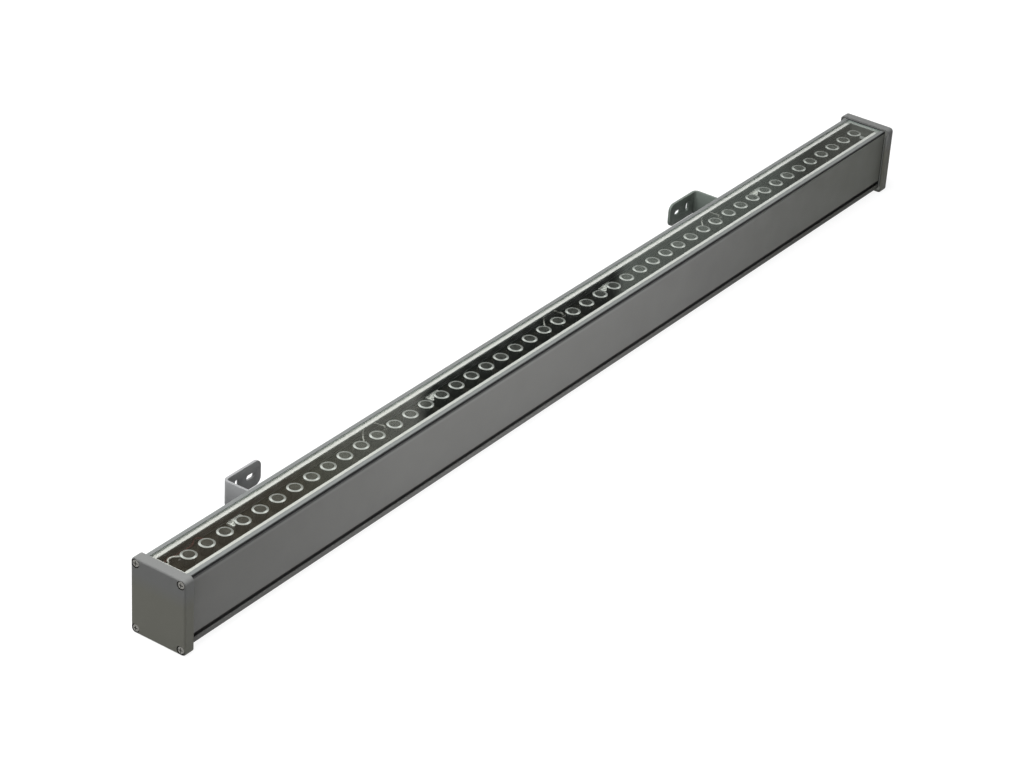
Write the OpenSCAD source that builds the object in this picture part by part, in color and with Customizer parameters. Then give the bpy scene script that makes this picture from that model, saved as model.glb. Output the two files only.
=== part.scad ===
// Outdoor wall washer light: a long lamp with a glass top, two end caps and two tilting wall brackets.
// X runs along the lamp from its middle, Y points to the wall and Z points where the light goes.
// The origin lies on the housing's underside.

/* [Light points] */
// Spacing of the light points along a board
led_pitch = 25; // [22:0.5:28]
// Number of light points on each board
leds_per_board = 12; // [10:1:14]
// Length past the outer light points on a board
board_margin = 13.5; // [11:0.5:18]
// Gap between two boards
board_gap = 0.4; // [0.2:0.1:2]
// Free length before the first board, where the feed wires come up
near_free = 15.5; // [15:0.5:24]
// Free length after the last board
far_free = 10.3; // [9:0.1:20]
// Width of a board
board_w = 40; // [38:0.5:42]
// Thickness of a board
board_t = 1.6; // [1:0.2:2]
// Height of the lens holder
holder_h = 9.9; // [8.5:0.1:12]
// Outer radius of the lens holder
holder_r = 7; // [6.8:0.1:7.4]
// Wall of the lens holder
holder_wall = 0.9; // [0.7:0.1:1]
// Radius of the lens rim
lens_r = 8.2; // [7.5:0.1:8.6]
// Thickness of the lens above its holder
lens_rim_t = 1.3; // [1.2:0.1:2]
// Radius of the raised face of the lens
lens_eye_r = 6.1; // [4.5:0.1:7.4]
// Height of the raised face of the lens above its rim
lens_eye_d = 0.2; // [0.1:0.1:0.6]

/* [Housing] */
// Width across the side walls
body_w = 54.7; // [54:0.1:58]
// Thickness of the side walls
wall_t = 2.2; // [2:0.1:2.4]
// Thickness of the floor
floor_t = 2.6; // [2.2:0.1:3.2]
// Height of the tray above the underside
tray_z = 55.4; // [54:0.2:70]
// Thickness of the tray
tray_t = 2; // [1.6:0.2:3]
// Rounding of the housing's lower edges
body_edge_r = 1.2; // [0.6:0.1:2]
// Rounding of the side walls' top edges
body_top_r = 0.8; // [0.4:0.1:1]
// Opening of the fixing groove
groove_w = 5.6; // [5.4:0.1:6.2]
// Height of the fixing groove's lower lip
groove_z = 5.5; // [5.2:0.1:7]
// Thickness of the fixing groove's lips
groove_lip = 2; // [1.6:0.1:2.2]
// Inner width of the fixing groove
groove_in_w = 9.6; // [9.4:0.1:10.2]
// Depth of the fixing groove behind its lips
groove_in_d = 3.8; // [3.6:0.1:4.2]
// Wall round the fixing groove
groove_wall = 1.6; // [1.2:0.1:2]
// Radius of the screw channels' walls
port_r = 3.6; // [3.2:0.1:3.8]
// Radius of the screw channels' holes
port_hole_r = 1.7; // [1.6:0.05:1.9]

/* [Glass and rails] */
// Thickness of the glass
glass_t = 4; // [3:0.5:5]
// Width of the glass
glass_w = 43.8; // [43:0.1:44.4]
// Air between the lenses and the glass
glass_gap = 0.6; // [0.3:0.1:3]
// Thickness of the sealant bed under the glass
bed_t = 0.4; // [0.3:0.1:0.8]
// Clear gap between the glass edge and the rail
glass_side_gap = 0.3; // [0.2:0.05:0.5]
// Half the clear width between the rails' ledges
ledge_y = 16.85; // [15.5:0.05:18]
// Thickness of the rails' ledges
ledge_t = 1.4; // [1.2:0.1:2]
// Thickness of the rails' uprights
rail_t = 2.5; // [2:0.1:2.6]
// How far the rails stand above the glass
rail_proud = 0.2; // [0.1:0.1:0.6]
// Thickness of the rails' top flange
flange_t = 1; // [0.8:0.1:1.4]
// Setback of the rails' top flange from the side wall
flange_setback = 0.75; // [0.5:0.05:0.9]
// Height of the gasket between the rails and the side walls
rail_gasket_t = 2.5; // [2:0.1:3]

/* [End caps] */
// Thickness of an end cap
cap_t = 11.6; // [10.5:0.1:16]
// Overhang of the end cap past the side wall
cap_side = 5.15; // [5:0.05:8]
// Overhang of the end cap above the rails
cap_top = 2; // [1.6:0.1:4]
// Overhang of the end cap below the underside
cap_under = 4.5; // [4:0.1:8]
// Corner radius of the end cap
cap_r = 4.5; // [4:0.1:5]
// Rounding of the end cap's outer edge
cap_edge_r = 2; // [1:0.1:3]
// Inset of the cap screws from the cap's sides
cap_screw_inset = 5.55; // [5.5:0.05:6]
// Thickness of an end plate
plate_t = 3; // [2.5:0.1:3.4]
// Overhang of the end plate past the side wall
plate_side = 1.55; // [1.2:0.05:2]
// Radius of the end plate's screw ears
ear_r = 3.8; // [3.4:0.1:4]
// Clear gap round the end plate in its pocket
pocket_gap = 0.6; // [0.4:0.05:0.7]
// Thickness of an end gasket
gasket_t = 1; // [0.6:0.1:2]
// Length of the shelf that carries the glass end
shelf_d = 4.6; // [4.2:0.1:7]

/* [Wall brackets] */
// Distance between the outer faces of the two bracket arms
bracket_span = 838; // [500:2:1000]
// Height of a bracket arm
arm_h = 28; // [26:0.5:30]
// Thickness of a bracket arm
arm_t = 3; // [2.5:0.1:4]
// Distance from the lamp's middle to the wall
wall_y = 105.5; // [100:0.5:140]
// Length of a bracket arm's wall flange
wall_flange = 55; // [54:0.5:80]
// Inner radius of a bracket arm's bend
bend_r = 3; // [2:0.1:5]
// Corner radius of the wall flange
flange_corner_r = 8; // [5:0.5:10]
// Width of the wall slots
slot_w = 6; // [5:0.1:6.6]
// Length of the wall slots
slot_len = 12; // [10:0.5:13]
// Distance from the outer bend face to the upright slot
upright_slot_x = 18.5; // [16:0.5:20]
// Distance from the outer bend face to the level slot
level_slot_x = 39; // [36:0.5:40]
// Height of the tilt axis above the underside
pivot_z = 13.6; // [13.4:0.1:16]
// Clear gap between the arm's round end and the housing
arm_gap = 1.65; // [1:0.05:4]
// Radius of the tilt bolt
pivot_r = 3; // [2.5:0.5:4]
// Running clearance of the tilt bolt in the arm
pivot_clear = 0.05; // [0.02:0.01:0.1]
// Height of a bracket foot
foot_h = 24; // [22:0.5:26]
// Thickness of a bracket foot
foot_t = 3; // [2.5:0.1:4]
// Length of a bracket foot along the housing
foot_len = 40; // [38:1:60]

/* [Driver and cable inlet] */
// Length of the driver
driver_len = 260; // [200:5:320]
// Width of the driver
driver_w = 36; // [32:0.5:37]
// Height of the driver's base
driver_h = 22; // [20:0.5:30]
// Sheet thickness of the driver's case
driver_sheet = 1.2; // [0.8:0.1:1.6]
// Distance from the near end to the driver
driver_near = 80; // [70:1:120]
// Length of the terminal block
terminal_len = 34; // [30:1:40]
// Distance from the far end to the terminal block
terminal_far = 60; // [50:1:90]
// Height of the cable inlet above the underside
inlet_z = 30; // [26:0.5:40]
// Radius of the cable inlet's thread
inlet_r = 8; // [7.5:0.1:9]
// Radius of the cable opening
cable_r = 3.6; // [3:0.1:4]
// Diameter of the feed wires
feed_d = 2; // [1.6:0.1:2.4]
// Diameter of the link wires between the boards
link_d = 1.5; // [1.2:0.1:1.8]
// Diameter of the supply leads
lead_d = 2.4; // [2:0.1:2.8]

/* [Hidden] */
$fn = 64;

// One overrun for all cuts, and the clear gap of pieces that seat on each other
over = 1;
seat = 0.1;
loose = 0.3;
end_gap = 0.5;

// Lengths
boards = 4;
board_len = (leds_per_board - 1) * led_pitch + 2 * board_margin;
board_pitch = board_len + board_gap;
housing_len = near_free + boards * board_len + (boards - 1) * board_gap + far_free;
x_near = -housing_len / 2;
x_far = housing_len / 2;
function board_x(n) = x_near + near_free + n * board_pitch;
function led_x(n, k) = board_x(n) + board_margin + k * led_pitch;

// Heights
board_z = tray_z + tray_t;
board_top = board_z + board_t;
lens_z = board_top + holder_h;
lens_top = lens_z + lens_rim_t;
glass_z = lens_top + glass_gap;
glass_top = glass_z + glass_t;
rail_top = glass_top + rail_proud;
ledge_top = glass_z - bed_t;
ledge_z = ledge_top - ledge_t;
rail_leg = 2;
rail_z = ledge_z - rail_leg;
wall_h = rail_top - flange_t - rail_gasket_t;
cap_top_z = rail_top + cap_top;

// Widths
body_y = body_w / 2;
inner_y = body_y - wall_t;
rail_in_y = glass_w / 2 + glass_side_gap;
rail_out_y = rail_in_y + rail_t;
flange_y = body_y - flange_setback;
cap_y = body_y + cap_side;
tray_y = inner_y - loose;

// Fixing groove
groove_mid = groove_z + groove_w / 2;
groove_in_y = body_y - groove_lip - groove_in_d;
groove_box_y = groove_in_y - groove_wall;
groove_box_top = groove_mid + groove_in_w / 2 + groove_wall;

// Ribs and screw channels inside the housing
seat_rib_w = 2.5;
seat_rib_h = 2.4;
tray_rib_w = 2.6;
tray_rib_h = 2.2;
port_sink = 1;
port_low_gap = 2.85;
port_low_y = groove_box_y - port_r - port_low_gap;
port_low_z = floor_t + port_r - port_sink;
port_high_y = inner_y - port_r + port_sink;
port_high_z = tray_z - tray_rib_h - port_r - port_sink;
port_places = [[-port_low_y, port_low_z], [port_low_y, port_low_z],
    [-port_high_y, port_high_z], [port_high_y, port_high_z]];
rib_y = 3;
rib_top = port_low_z + port_r;
rib_hole_r = 1.25;
rib_hole_d = 5;

// Driver and terminal block places
driver_x = x_near + driver_near;
terminal_x = x_far - terminal_far - terminal_len;
tab_len = 9;
driver_end = driver_x + driver_len;
inner_screw_xs = [driver_x - tab_len / 2, driver_end + tab_len / 2,
    terminal_x - tab_len / 2, terminal_x + terminal_len + tab_len / 2];

// End pieces
plate_y = body_y + plate_side;
plate_low = -plate_side;
plate_high = rail_top - end_gap;
plate_r = 2;
screw_y = cap_y - cap_screw_inset;
screw_zs = [-cap_under + cap_screw_inset, cap_top_z - cap_screw_inset];
x_cap_far = x_far + gasket_t + cap_t;

// Metric screws: shank radius, head radius and head height
m3 = [1.45, 2.8, 2];
m4 = [1.95, 4, 2.4];
m5 = [2.5, 4.6, 4];
cross_w = 0.9;
cross_depth_share = 0.55;
cross_reach_share = 0.62;
pan_round_share = 0.45;
clear_hole = 0.25;
tap_clear = 0.05;
counterbore_side = 0.55;
counterbore_sink = 0.2;
counterbore_r = m4[1] + counterbore_side;
counterbore_d = m4[2] + counterbore_sink;
plate_screw_len = 9;
sink_d = 2;

// Brackets
pivot_y = body_y + arm_gap + arm_h / 2;
web_x = bracket_span / 2;
web_in_x = web_x - arm_t;
washer_t = 0.8;
washer_r = 10;
play = 0.1;
ear_x = web_in_x - play - washer_t - seat / 2;
foot_bend_r = 1.5;
foot_ear_r = foot_h / 2;
foot_bolt_xs = [13, 30];
bolt_head_t = 3.4;
bolt_head_w = 9;
nut_flange_t = 1.2;
nut_flange_r = 5.8;
pivot_head_r = 5.8;
pivot_head_h = 4;
pivot_nut_h = 5;
bolt_end = 2;

// Cable inlet
inlet_gap = 0.05;
hex_r = 10.9;
hex_t = 5;
neck_len = 9;
nut_len = 13;
nut_wall = 1.6;
nut_hex_share = 0.6;
seal_len = 10;
inlet_bore_r = 5.2;

// A plane shape whose first axis is Y and second axis is Z, drawn out along X from x0
module along_x(x0, len) {
    translate([x0, 0, 0]) rotate([90, 0, 90]) linear_extrude(height = len) children();
}

// A plane shape whose first axis is X and second axis is Z, drawn out along Y from y0
module along_y(y0, len) {
    translate([0, y0 + len, 0]) rotate([90, 0, 0]) linear_extrude(height = len) children();
}

// A rectangle with round corners, from its low corner
module round_rect(w, h, r) {
    translate([r, 0]) square([w - 2 * r, h]);
    translate([0, r]) square([w, h - 2 * r]);
    for (x = [r, w - r], y = [r, h - r]) translate([x, y]) circle(r = r);
}

// A slot with round ends, centred, lying along its first axis
module slot(len, w) {
    square([len - w, w], center = true);
    for (s = [-1, 1]) translate([s * (len - w) / 2, 0]) circle(r = w / 2);
}

// A round rod along X from x0
module rod_x(x0, len, r) {
    translate([x0, 0, 0]) rotate([0, 90, 0]) cylinder(r = r, h = len);
}

// A pan head screw pointing down, its head standing on the origin
module pan_screw(size, len) {
    difference() {
        union() {
            rotate_extrude() pan_profile(size);
            translate([0, 0, -len]) cylinder(r = size[0], h = len + size[2] / 2);
        }
        for (a = [0, 90]) rotate([0, 0, a])
            translate([-size[1] * cross_reach_share, -cross_w / 2, size[2] * (1 - cross_depth_share)])
                cube([2 * size[1] * cross_reach_share, cross_w, size[2]]);
    }
}

// Half outline of a pan head
module pan_profile(size) {
    round_r = size[2] * pan_round_share;
    intersection() {
        union() {
            square([size[1] - round_r, size[2]]);
            square([size[1], size[2] - round_r]);
            translate([size[1] - round_r, size[2] - round_r]) circle(r = round_r);
        }
        square([size[1], size[2]]);
    }
}

// Smooth wire through hand-chosen points
function curve_at(p, i, t) = let (
    a = p[max(i - 1, 0)], b = p[i], c = p[i + 1], d = p[min(i + 2, len(p) - 1)])
    0.5 * (2 * b + (c - a) * t + (2 * a - 5 * b + 4 * c - d) * t * t + (3 * b - a - 3 * c + d) * t * t * t);
function curve(p, n) = concat(
    [for (i = [0:len(p) - 2], s = [0:n - 1]) curve_at(p, i, s / n)], [p[len(p) - 1]]);
function unit(v) = v / norm(v);
function heading(c, i) = unit(c[min(i + 1, len(c) - 1)] - c[max(i - 1, 0)]);
function turned(u, t) = unit(u - (u * t) * t);
wire_sides = 8;
wire_start = [0.2, 0.9, 0.4];

module wire(points, d, steps = 3) {
    c = curve(points, steps);
    t = [for (i = [0:len(c) - 1]) heading(c, i)];
    u = [for (i = 0, v = turned(wire_start, t[0]); i < len(c);
        i = i + 1, v = turned(v, t[min(i, len(c) - 1)])) v];
    rings = [for (i = [0:len(c) - 1], k = [0:wire_sides - 1])
        let (a = 360 * k / wire_sides) c[i] + d / 2 * (cos(a) * u[i] + sin(a) * cross(t[i], u[i]))];
    last = len(c) - 1;
    walls = [for (i = [0:last - 1], k = [0:wire_sides - 1]) let (
        a = i * wire_sides + k, b = i * wire_sides + (k + 1) % wire_sides)
        each [[a, b, a + wire_sides], [b, b + wire_sides, a + wire_sides]]];
    ends = [[for (k = [wire_sides - 1:-1:0]) k], [for (k = [0:wire_sides - 1]) last * wire_sides + k]];
    polyhedron(points = rings, faces = [for (f = concat(walls, ends)) [for (k = [len(f) - 1:-1:0]) f[k]]]);
}

// Housing extrusion
module housing_section() {
    difference() {
        union() {
            difference() {
                union() {
                    translate([-body_y, 0]) round_rect(body_w, wall_h / 2, body_edge_r);
                    translate([-body_y, wall_h / 4]) round_rect(body_w, wall_h * 3 / 4, body_top_r);
                }
                translate([-inner_y, floor_t]) square([2 * inner_y, wall_h]);
            }
            for (s = [0, 1]) mirror([s, 0]) {
                translate([groove_box_y, floor_t / 2])
                    square([body_y - wall_t / 2 - groove_box_y, groove_box_top - floor_t / 2]);
                translate([inner_y - seat_rib_w, rail_z - seat_rib_h])
                    square([seat_rib_w + wall_t / 2, seat_rib_h]);
                translate([inner_y - tray_rib_w, tray_z - tray_rib_h])
                    square([tray_rib_w + wall_t / 2, tray_rib_h]);
                translate([inner_y - tray_rib_w, board_z + loose])
                    square([tray_rib_w + wall_t / 2, board_t]);
            }
            for (p = port_places) translate(p) circle(r = port_r);
            translate([-rib_y, floor_t / 2]) square([2 * rib_y, rib_top - floor_t / 2]);
        }
        for (s = [0, 1]) mirror([s, 0]) {
            translate([body_y - groove_lip - over, groove_z]) square([groove_lip + 2 * over, groove_w]);
            translate([groove_in_y, groove_mid - groove_in_w / 2]) square([groove_in_d, groove_in_w]);
        }
        for (p = port_places) translate(p) circle(r = port_hole_r);
    }
}

module housing() {
    color([0.42, 0.43, 0.42]) difference() {
        along_x(x_near, housing_len) housing_section();
        for (x = inner_screw_xs) translate([x, 0, rib_top - rib_hole_d])
            cylinder(r = rib_hole_r, h = rib_hole_d + over);
    }
}

// Bright rail with a ledge under the glass and a flange over the side wall
module rail_section() {
    translate([rail_in_y, rail_z]) square([rail_t, rail_top - rail_z]);
    translate([ledge_y, ledge_z]) square([rail_in_y + rail_t / 2 - ledge_y, ledge_t]);
    translate([rail_in_y, rail_top - flange_t]) square([flange_y - rail_in_y, flange_t]);
}

module trim_rail_back() {
    color([0.76, 0.78, 0.77]) along_x(x_near, housing_len) rail_section();
}

module trim_rail_front() {
    mirror([0, 1, 0]) trim_rail_back();
}

module rail_gasket_back() {
    color([0.09, 0.09, 0.09]) along_x(x_near, housing_len)
        translate([rail_out_y + seat, wall_h]) square([flange_y - rail_out_y - 2 * seat, rail_gasket_t]);
}

module rail_gasket_front() {
    mirror([0, 1, 0]) rail_gasket_back();
}

// Glass and the sealant that it lies in
glass_end_gap = 0.5;
glass_len = housing_len - 2 * glass_end_gap;

module glass_cover() {
    color([0.75, 0.85, 0.82, 0.35])
        translate([-glass_len / 2, -glass_w / 2, glass_z]) cube([glass_len, glass_w, glass_t]);
}

module glass_bed() {
    color([0.86, 0.88, 0.86]) difference() {
        translate([-glass_len / 2, -glass_w / 2, ledge_top]) cube([glass_len, glass_w, bed_t]);
        translate([-glass_len / 2 + shelf_d - gasket_t, -ledge_y, ledge_top - over])
            cube([glass_len - 2 * (shelf_d - gasket_t), 2 * ledge_y, bed_t + 2 * over]);
    }
}

// Tray, boards and what stands on them
board_screw_in = 5.4;
board_screw_side = 5;
board_screw_y = board_w / 2 - board_screw_side;
wire_hole_w = 6;
wire_hole_y = [9, 19];

module board_screw_places(n) {
    for (x = [board_screw_in, board_len - board_screw_in], y = [-board_screw_y, board_screw_y])
        translate([board_x(n) + x, y, 0]) children();
}

module led_tray() {
    color([0.6, 0.61, 0.6]) difference() {
        translate([x_near + loose, -tray_y, tray_z]) cube([housing_len - 2 * loose, 2 * tray_y, tray_t]);
        translate([led_x(0, 0) + feed_rise_x - wire_hole_w / 2, wire_hole_y[0], tray_z - over])
            cube([wire_hole_w, wire_hole_y[1] - wire_hole_y[0], tray_t + 2 * over]);
        for (n = [0:boards - 1]) board_screw_places(n)
            translate([0, 0, tray_z - over]) cylinder(r = m3[0] + tap_clear, h = tray_t + 2 * over);
    }
}

module led_board(n) {
    color([0.1, 0.1, 0.1]) difference() {
        translate([board_x(n), -board_w / 2, board_z]) cube([board_len, board_w, board_t]);
        board_screw_places(n)
            translate([0, 0, board_z - over]) cylinder(r = m3[0] + clear_hole, h = board_t + 2 * over);
    }
}

led_base = 3.5;
led_base_t = 0.7;
led_dome_r = 1.3;

module leds(n) {
    color([0.95, 0.85, 0.4]) for (k = [0:leds_per_board - 1]) translate([led_x(n, k), 0, board_top]) {
        translate([-led_base / 2, -led_base / 2, 0]) cube([led_base, led_base, led_base_t]);
        translate([0, 0, led_base_t]) rotate_extrude() intersection() {
            circle(r = led_dome_r);
            square([led_dome_r, led_dome_r]);
        }
    }
}

holder_in_r = holder_r - holder_wall;
holder_floor = 0.8;
holder_hole_r = 3.2;

module lens_holders(n) {
    color([0.07, 0.07, 0.07]) for (k = [0:leds_per_board - 1]) translate([led_x(n, k), 0, board_top])
        rotate_extrude() polygon([[holder_hole_r, 0], [holder_r, 0], [holder_r, holder_h],
            [holder_in_r, holder_h], [holder_in_r, holder_floor], [holder_hole_r, holder_floor]]);
}

// Each lens is a cone with a hollow foot over the light point, a wide rim and a raised face
lens_foot_z = 2.4;
lens_foot_r = 2.9;
lens_foot_in = 2;
lens_foot_up = 3.8;
lens_edge = 0.3;

module lenses(n) {
    body_r = holder_in_r - loose;
    top = holder_h + lens_rim_t;
    rim_top = top - lens_eye_d;
    color([0.8, 0.82, 0.8, 0.8]) for (k = [0:leds_per_board - 1]) translate([led_x(n, k), 0, board_top])
        rotate_extrude() polygon([[0, lens_foot_up], [lens_foot_in, lens_foot_up],
            [lens_foot_in, lens_foot_z], [lens_foot_r, lens_foot_z], [body_r, holder_h], [lens_r, holder_h],
            [lens_r, rim_top - lens_edge], [lens_r - lens_edge, rim_top],
            [lens_eye_r, rim_top], [lens_eye_r - lens_edge, top], [0, top]]);
}

module board_screws() {
    color([0.3, 0.3, 0.3]) for (n = [0:boards - 1]) board_screw_places(n)
        translate([0, 0, board_top]) pan_screw(m3, board_t + tray_t + tap_clear);
}

// White two-pole connector behind the fourth light point of each board
connector_size = [19.6, 9.5, 3];
connector_x = -2.7;
connector_y = 8;
connector_hole_r = 0.9;

module board_connectors() {
    color([0.88, 0.88, 0.85]) for (n = [0:boards - 1])
        translate([led_x(n, 3) + connector_x, connector_y, board_top]) difference() {
            cube(connector_size);
            for (s = [1, 3]) translate([-over, connector_size[1] * s / 4, connector_size[2] / 2])
                rotate([0, 90, 0]) cylinder(r = connector_hole_r, h = connector_size[0] / 2);
        }
}

// A link wire arches over each joint of the boards, tucked under the back ledge
link_points = [[-4.6, 12.4, 0.25], [-4.6, 12.5, 1.4], [-3, 14.8, 3.4], [0, 17.6, 5.6], [3.5, 19.8, 7.2],
    [9, 20.6, 7.8], [16, 20.6, 7.8], [20, 20.2, 7.3], [23, 18.9, 6], [26, 17.2, 3.8], [28.6, 14.8, 2.6],
    [29.4, 13.5, 1.4], [29.4, 13.4, 0.25]];

module link_wires() {
    color([0.85, 0.84, 0.8]) for (n = [0:boards - 2])
        translate([led_x(n, leds_per_board - 1), 0, board_top]) wire(link_points, link_d);
}

// Two feed wires rise from the driver through the tray to the first board
feed_rise_x = -15.5;
feed_wire_z = -31;
feed_white_y = 12;
feed_dark_y = 16;
feed_low_points = [[9, feed_wire_z], [2, -30], [-6, -27], [-13, -18], [feed_rise_x, -8]];
feed_white_points = [[feed_rise_x, feed_white_y, 0], [-13.6, 12.2, 3.4], [-12.8, 13.7, 5.2],
    [-7.5, 13.6, 5.6], [-1.2, 9.9, 4.8], [3.9, 9, 3], [5, 8.8, 1.6], [5, 8.8, 0.1]];
feed_dark_points = [[feed_rise_x, feed_dark_y, 0], [-13.2, 16.2, 3.2], [-8, 16.8, 4], [-2, 17.2, 2],
    [5, 17.4, 1.3], [14, 17, 1.3], [21, 16.6, 1.6], [24.9, 16.8, 3], [29.1, 19.1, 4.5], [32.7, 17.9, 4.5],
    [36.2, 15.1, 3.2], [37.2, 14.1, 1.6], [37.3, 14, 0.1]];

module feed_wire(y, points) {
    start = [driver_x - led_x(0, 0) - end_gap, y, feed_wire_z];
    translate([led_x(0, 0), 0, board_top])
        wire(concat([start], [for (p = feed_low_points) [p[0], y, p[1]]], points), feed_d);
}

module feed_wires() {
    color([0.82, 0.8, 0.76]) {
        feed_wire(feed_white_y, feed_white_points);
        feed_wire(feed_dark_y, feed_dark_points);
    }
}

// Driver
driver_z = rib_top;
driver_inner = driver_w - 2 * driver_sheet;
driver_post_h = 3;
driver_board_z = driver_z + driver_sheet + driver_post_h;

module driver_base() {
    color([0.7, 0.71, 0.7]) difference() {
        union() {
            translate([driver_x, -driver_w / 2, driver_z]) cube([driver_len, driver_w, driver_h]);
            translate([driver_x - tab_len, -driver_w / 4, driver_z])
                cube([driver_len + 2 * tab_len, driver_w / 2, driver_sheet]);
        }
        translate([driver_x + driver_sheet, -driver_inner / 2, driver_z + driver_sheet])
            cube([driver_len - 2 * driver_sheet, driver_inner, driver_h]);
        for (k = [0, 1]) translate([inner_screw_xs[k], 0, driver_z - over])
            cylinder(r = m3[0] + clear_hole, h = driver_sheet + 2 * over);
    }
}

cover_skirt = 4;

module driver_cover() {
    color([0.75, 0.76, 0.75]) {
        translate([driver_x, -driver_w / 2, driver_z + driver_h]) cube([driver_len, driver_w, driver_sheet]);
        difference() {
            translate([driver_x + driver_sheet + loose, -driver_inner / 2 + loose,
                driver_z + driver_h - cover_skirt])
                cube([driver_len - 2 * (driver_sheet + loose), driver_inner - 2 * loose, cover_skirt + seat]);
            translate([driver_x + 2 * driver_sheet + loose, -driver_inner / 2 + loose + driver_sheet,
                driver_z + driver_h - cover_skirt - over])
                cube([driver_len - 4 * driver_sheet - 2 * loose, driver_inner - 2 * (loose + driver_sheet),
                    cover_skirt + over]);
        }
    }
}

driver_post_r = 2.2;
driver_post_x_shares = [0.06, 0.94];
driver_post_y_shares = [-0.4, 0.4];

module driver_board() {
    color([0.16, 0.35, 0.2]) {
        translate([driver_x + 3 * driver_sheet, -driver_inner / 2 + loose, driver_board_z])
            cube([driver_len - 6 * driver_sheet, driver_inner - 2 * loose, board_t]);
        for (x = driver_post_x_shares, y = driver_post_y_shares)
            translate([driver_x + driver_len * x, driver_inner * y, driver_z + driver_sheet])
                cylinder(r = driver_post_r, h = driver_board_z + board_t / 2 - driver_z - driver_sheet);
    }
}

// Places are shares of the driver's length and width
transformer_size = [28, 22, 11];
capacitor_r = 4.5;
capacitor_h = 11;
capacitor_shares = [[0.14, -0.2], [0.14, 0.2], [0.78, 0.2], [0.86, -0.2]];
choke_r = 5.5;
choke_h = 9;
choke_shares = [[0.26, 0], [0.7, 0]];

module driver_parts() {
    z = driver_board_z + board_t;
    color([0.2, 0.2, 0.22]) {
        translate([driver_x + (driver_len - transformer_size[0]) / 2, -transformer_size[1] / 2, z])
            cube(transformer_size);
        for (s = capacitor_shares) translate([driver_x + driver_len * s[0], driver_w * s[1], z])
            cylinder(r = capacitor_r, h = capacitor_h);
        for (s = choke_shares) translate([driver_x + driver_len * s[0], driver_w * s[1], z])
            cylinder(r = choke_r, h = choke_h);
    }
}

// Terminal block with three poles
poles = 3;
terminal_w = 24;
terminal_h = 15;
pole_pitch = 7;
pole_hole_r = 2;
pole_screw_r = 1.8;

module terminal_block() {
    color([0.9, 0.9, 0.87]) difference() {
        union() {
            translate([terminal_x, -terminal_w / 2, rib_top]) cube([terminal_len, terminal_w, terminal_h]);
            translate([terminal_x - tab_len, -rib_y, rib_top])
                cube([terminal_len + 2 * tab_len, 2 * rib_y, board_t]);
        }
        for (k = [0:poles - 1]) {
            y = (k - (poles - 1) / 2) * pole_pitch;
            translate([0, y, rib_top + terminal_h / 2])
                rod_x(terminal_x - over, terminal_len + 2 * over, pole_hole_r);
            for (s = [1, 3]) translate([terminal_x + terminal_len * s / 4, y, rib_top + terminal_h / 2])
                cylinder(r = pole_screw_r, h = terminal_h);
        }
        for (k = [2, 3]) translate([inner_screw_xs[k], 0, rib_top - over])
            cylinder(r = m3[0] + clear_hole, h = board_t + 2 * over);
    }
}

module inner_screws() {
    washers = [driver_sheet, driver_sheet, board_t, board_t];
    color([0.75, 0.75, 0.75]) for (k = [0:3])
        translate([inner_screw_xs[k], 0, rib_top + washers[k]]) inner_screw(washers[k]);
}

module inner_screw(t) {
    difference() {
        union() {
            rotate_extrude() pan_profile(m3);
            translate([0, 0, -t - rib_hole_d + 2 * loose])
                cylinder(r = rib_hole_r - tap_clear, h = t + rib_hole_d - 2 * loose + m3[2] / 2);
        }
        for (a = [0, 90]) rotate([0, 0, a])
            translate([-m3[1] * cross_reach_share, -cross_w / 2, m3[2] * (1 - cross_depth_share)])
                cube([2 * m3[1] * cross_reach_share, cross_w, m3[2]]);
    }
}

// Supply leads from the terminal block to the driver, lying along the floor rib
lead_in = 8;
lead_near_share = 0.6;
lead_spots = 20;
lead_wave = 1.5;

module supply_leads() {
    z = rib_top + terminal_h / 2;
    low = rib_top + lead_d / 2 + 2 * loose;
    from = driver_end + 4 * lead_in;
    to = terminal_x - 4 * lead_in;
    color([0.35, 0.3, 0.28]) for (k = [0:poles - 1]) {
        y = (k - (poles - 1) / 2) * pole_pitch;
        wire(concat(
            [for (x = [end_gap, lead_in / 2, lead_in]) [driver_end + x, y, z]],
            [for (s = [0:lead_spots]) [from + (to - from) * s / lead_spots,
                y * lead_near_share + (s % 2 - 1 / 2) * lead_wave, low]],
            [for (x = [-lead_in, -over, lead_in]) [terminal_x + x, y, z]]), lead_d);
    }
}

// End plates: screwed to the housing's channels, they carry the caps and the glass ends
module plate_outline(grow) {
    w = 2 * (plate_y + grow);
    translate([-plate_y - grow, plate_low - grow])
        round_rect(w, plate_high - plate_low + 2 * grow, plate_r + grow);
    for (s = [-1, 1], z = screw_zs) translate([s * screw_y, z]) circle(r = ear_r + grow);
}

module end_plate_far() {
    color([0.62, 0.63, 0.62]) difference() {
        union() {
            along_x(x_far + gasket_t, plate_t) plate_outline(0);
            translate([x_far + gasket_t - shelf_d, -ledge_y + loose, ledge_z])
                cube([shelf_d + plate_t / 2, 2 * (ledge_y - loose), ledge_t]);
        }
        for (s = [-1, 1], z = screw_zs) translate([0, s * screw_y, z])
            rod_x(x_far + gasket_t - over, plate_t + 2 * over, m4[0] + tap_clear);
        for (p = port_places) translate([x_far + gasket_t, p[0], p[1]]) rotate([0, 90, 0]) {
            translate([0, 0, -over]) cylinder(r = m4[0] + clear_hole, h = plate_t + 2 * over);
            translate([0, 0, plate_t - sink_d - tap_clear])
                cylinder(r1 = m4[0] + clear_hole, r2 = m4[1] + clear_hole, h = sink_d);
            translate([0, 0, plate_t - 2 * tap_clear]) cylinder(r = m4[1] + clear_hole, h = over);
        }
        translate([0, 0, inlet_z]) rod_x(x_far + gasket_t - over, plate_t + 2 * over, inlet_bore_r + over);
    }
}

module end_plate_near() {
    mirror([1, 0, 0]) end_plate_far();
}

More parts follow.
